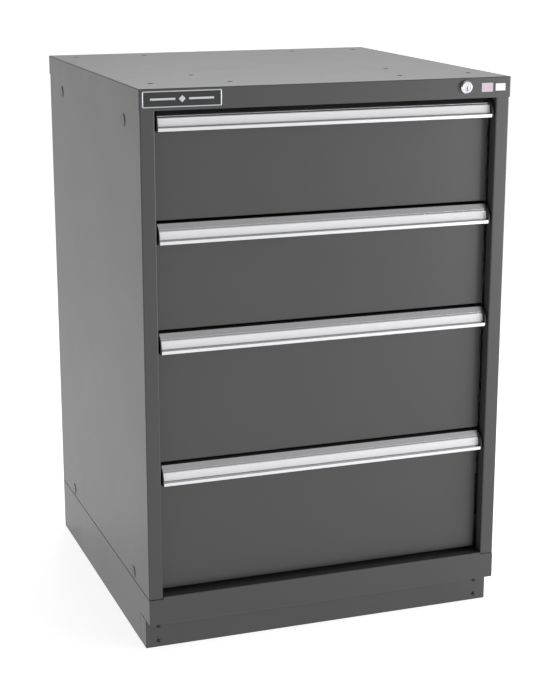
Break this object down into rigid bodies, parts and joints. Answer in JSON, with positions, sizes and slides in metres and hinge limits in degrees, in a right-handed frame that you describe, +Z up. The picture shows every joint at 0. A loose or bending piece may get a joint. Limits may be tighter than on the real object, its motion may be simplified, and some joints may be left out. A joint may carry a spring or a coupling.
{
  "type": "drawer cabinet",
  "caption": "Stationary steel tool cabinet: full-extension drawers with full-width aluminium pulls, central lock, and a base with fork openings behind screwed covers.",
  "frame": {"origin": "on the floor, under the middle of the bounding box with the drawers shut", "axes": "+Z up, -Y out of the drawer fronts, +X to the right of a person who faces the drawers"},
  "size_m": [0.7174, 0.7304, 1.0605],
  "materials": {
    "housing_paint": "semi-gloss powder coat, charcoal grey",
    "front_paint": "semi-gloss powder coat, charcoal grey",
    "inner_paint": "powder coat",
    "aluminium": "satin anodised extrusion",
    "zinc_steel": "zinc plated",
    "black_plastic": "moulded",
    "grey_plastic": "moulded",
    "card": "white card",
    "plate": "dark enamel plate with a light edge",
    "label": "blank adhesive label",
    "lock_chrome": "bright chrome",
    "black_screw": "black oxide screws",
    "roller_steel": "hardened steel"
  },
  "bodies": {
    "housing": {"left_side_panel": "housing_paint", "right_side_panel": "housing_paint", "back_panel": "housing_paint", "top_cap": "housing_paint", "side_hole_plugs": "grey_plastic", "base_frame": "housing_paint", "base_runners": "housing_paint", "base_front_cover": "housing_paint", "base_rear_cover": "housing_paint", "base_cover_screws": "black_screw", "slide_uprights": "inner_paint", "cabinet_channels": "zinc_steel", "nameplate": "plate", "blank_labels": "label", "lock_housing": "lock_chrome", "lock_nut": "zinc_steel", "lock_bar_guides": "inner_paint"},
    "lock_rotor": {"lock_plug": "lock_chrome", "lock_cam": "zinc_steel"},
    "lock_bolt": {"lock_bar": "zinc_steel"},
    "drawer_1": {"drawer_front_1": "front_paint", "drawer_tub_1": "inner_paint", "handle_1": "aluminium", "handle_end_caps_1": "black_plastic", "label_strip_1": "card", "drawer_channels_1": "zinc_steel"},
    "slide_carriage_1": {"carriage_1": "zinc_steel"},
    "front_roller_1": {"front_rollers_1": "roller_steel"},
    "middle_roller_1": {"middle_rollers_1": "roller_steel"},
    "rear_roller_1": {"rear_rollers_1": "roller_steel"},
    "drawer_2": {"drawer_front_2": "front_paint", "drawer_tub_2": "inner_paint", "handle_2": "aluminium", "handle_end_caps_2": "black_plastic", "label_strip_2": "card", "drawer_channels_2": "zinc_steel"},
    "slide_carriage_2": {"carriage_2": "zinc_steel"},
    "front_roller_2": {"front_rollers_2": "roller_steel"},
    "middle_roller_2": {"middle_rollers_2": "roller_steel"},
    "rear_roller_2": {"rear_rollers_2": "roller_steel"},
    "drawer_3": {"drawer_front_3": "front_paint", "drawer_tub_3": "inner_paint", "handle_3": "aluminium", "handle_end_caps_3": "black_plastic", "label_strip_3": "card", "drawer_channels_3": "zinc_steel"},
    "slide_carriage_3": {"carriage_3": "zinc_steel"},
    "front_roller_3": {"front_rollers_3": "roller_steel"},
    "middle_roller_3": {"middle_rollers_3": "roller_steel"},
    "rear_roller_3": {"rear_rollers_3": "roller_steel"},
    "drawer_4": {"drawer_front_4": "front_paint", "drawer_tub_4": "inner_paint", "handle_4": "aluminium", "handle_end_caps_4": "black_plastic", "label_strip_4": "card", "drawer_channels_4": "zinc_steel"},
    "slide_carriage_4": {"carriage_4": "zinc_steel"},
    "front_roller_4": {"front_rollers_4": "roller_steel"},
    "middle_roller_4": {"middle_rollers_4": "roller_steel"},
    "rear_roller_4": {"rear_rollers_4": "roller_steel"}
  },
  "joints": [
    {"name": "drawer_1_slide", "type": "slide", "parent": "housing", "child": "drawer_1", "axis": [0, -1, 0], "range_m": [0, 0.6]},
    {"name": "carriage_1_slide", "type": "slide", "parent": "housing", "child": "slide_carriage_1", "axis": [0, -1, 0], "range_m": [0, 0.3]},
    {"name": "front_roller_1_spin", "type": "hinge", "parent": "slide_carriage_1", "child": "front_roller_1", "pos_m": [0, -0.30135, 0.86878], "axis": [1, 0, 0], "range_deg": [0, 1570]},
    {"name": "middle_roller_1_spin", "type": "hinge", "parent": "slide_carriage_1", "child": "middle_roller_1", "pos_m": [0, 0.00865, 0.86878], "axis": [1, 0, 0], "range_deg": [0, 1570]},
    {"name": "rear_roller_1_spin", "type": "hinge", "parent": "slide_carriage_1", "child": "rear_roller_1", "pos_m": [0, 0.31565, 0.86878], "axis": [1, 0, 0], "range_deg": [0, 1570]},
    {"name": "drawer_2_slide", "type": "slide", "parent": "housing", "child": "drawer_2", "axis": [0, -1, 0], "range_m": [0, 0.6]},
    {"name": "carriage_2_slide", "type": "slide", "parent": "housing", "child": "slide_carriage_2", "axis": [0, -1, 0], "range_m": [0, 0.3]},
    {"name": "front_roller_2_spin", "type": "hinge", "parent": "slide_carriage_2", "child": "front_roller_2", "pos_m": [0, -0.30135, 0.66756], "axis": [1, 0, 0], "range_deg": [0, 1570]},
    {"name": "middle_roller_2_spin", "type": "hinge", "parent": "slide_carriage_2", "child": "middle_roller_2", "pos_m": [0, 0.00865, 0.66756], "axis": [1, 0, 0], "range_deg": [0, 1570]},
    {"name": "rear_roller_2_spin", "type": "hinge", "parent": "slide_carriage_2", "child": "rear_roller_2", "pos_m": [0, 0.31565, 0.66756], "axis": [1, 0, 0], "range_deg": [0, 1570]},
    {"name": "drawer_3_slide", "type": "slide", "parent": "housing", "child": "drawer_3", "axis": [0, -1, 0], "range_m": [0, 0.6]},
    {"name": "carriage_3_slide", "type": "slide", "parent": "housing", "child": "slide_carriage_3", "axis": [0, -1, 0], "range_m": [0, 0.3]},
    {"name": "front_roller_3_spin", "type": "hinge", "parent": "slide_carriage_3", "child": "front_roller_3", "pos_m": [0, -0.30135, 0.41603], "axis": [1, 0, 0], "range_deg": [0, 1570]},
    {"name": "middle_roller_3_spin", "type": "hinge", "parent": "slide_carriage_3", "child": "middle_roller_3", "pos_m": [0, 0.00865, 0.41603], "axis": [1, 0, 0], "range_deg": [0, 1570]},
    {"name": "rear_roller_3_spin", "type": "hinge", "parent": "slide_carriage_3", "child": "rear_roller_3", "pos_m": [0, 0.31565, 0.41603], "axis": [1, 0, 0], "range_deg": [0, 1570]},
    {"name": "drawer_4_slide", "type": "slide", "parent": "housing", "child": "drawer_4", "axis": [0, -1, 0], "range_m": [0, 0.6]},
    {"name": "carriage_4_slide", "type": "slide", "parent": "housing", "child": "slide_carriage_4", "axis": [0, -1, 0], "range_m": [0, 0.3]},
    {"name": "front_roller_4_spin", "type": "hinge", "parent": "slide_carriage_4", "child": "front_roller_4", "pos_m": [0, -0.30135, 0.1645], "axis": [1, 0, 0], "range_deg": [0, 1570]},
    {"name": "middle_roller_4_spin", "type": "hinge", "parent": "slide_carriage_4", "child": "middle_roller_4", "pos_m": [0, 0.00865, 0.1645], "axis": [1, 0, 0], "range_deg": [0, 1570]},
    {"name": "rear_roller_4_spin", "type": "hinge", "parent": "slide_carriage_4", "child": "rear_roller_4", "pos_m": [0, 0.31565, 0.1645], "axis": [1, 0, 0], "range_deg": [0, 1570]},
    {"name": "lock_turn", "type": "hinge", "parent": "housing", "child": "lock_rotor", "pos_m": [0.26575, -0.35735, 1.0435], "axis": [0, 1, 0], "range_deg": [0, 90]},
    {"name": "lock_bolt_slide", "type": "slide", "parent": "housing", "child": "lock_bolt", "axis": [0, 0, 1], "range_m": [0, 0.01141]}
  ],
  "couplings": [
    {"joint": "carriage_1_slide", "follows": "drawer_1_slide", "ratio": 0.5},
    {"joint": "front_roller_1_spin", "follows": "drawer_1_slide", "rad_per_m": 45.455},
    {"joint": "middle_roller_1_spin", "follows": "drawer_1_slide", "rad_per_m": 45.455},
    {"joint": "rear_roller_1_spin", "follows": "drawer_1_slide", "rad_per_m": 45.455},
    {"joint": "carriage_2_slide", "follows": "drawer_2_slide", "ratio": 0.5},
    {"joint": "front_roller_2_spin", "follows": "drawer_2_slide", "rad_per_m": 45.455},
    {"joint": "middle_roller_2_spin", "follows": "drawer_2_slide", "rad_per_m": 45.455},
    {"joint": "rear_roller_2_spin", "follows": "drawer_2_slide", "rad_per_m": 45.455},
    {"joint": "carriage_3_slide", "follows": "drawer_3_slide", "ratio": 0.5},
    {"joint": "front_roller_3_spin", "follows": "drawer_3_slide", "rad_per_m": 45.455},
    {"joint": "middle_roller_3_spin", "follows": "drawer_3_slide", "rad_per_m": 45.455},
    {"joint": "rear_roller_3_spin", "follows": "drawer_3_slide", "rad_per_m": 45.455},
    {"joint": "carriage_4_slide", "follows": "drawer_4_slide", "ratio": 0.5},
    {"joint": "front_roller_4_spin", "follows": "drawer_4_slide", "rad_per_m": 45.455},
    {"joint": "middle_roller_4_spin", "follows": "drawer_4_slide", "rad_per_m": 45.455},
    {"joint": "rear_roller_4_spin", "follows": "drawer_4_slide", "rad_per_m": 45.455},
    {"joint": "lock_bolt_slide", "follows": "lock_turn", "m_per_rad": 0.007203}
  ]
}
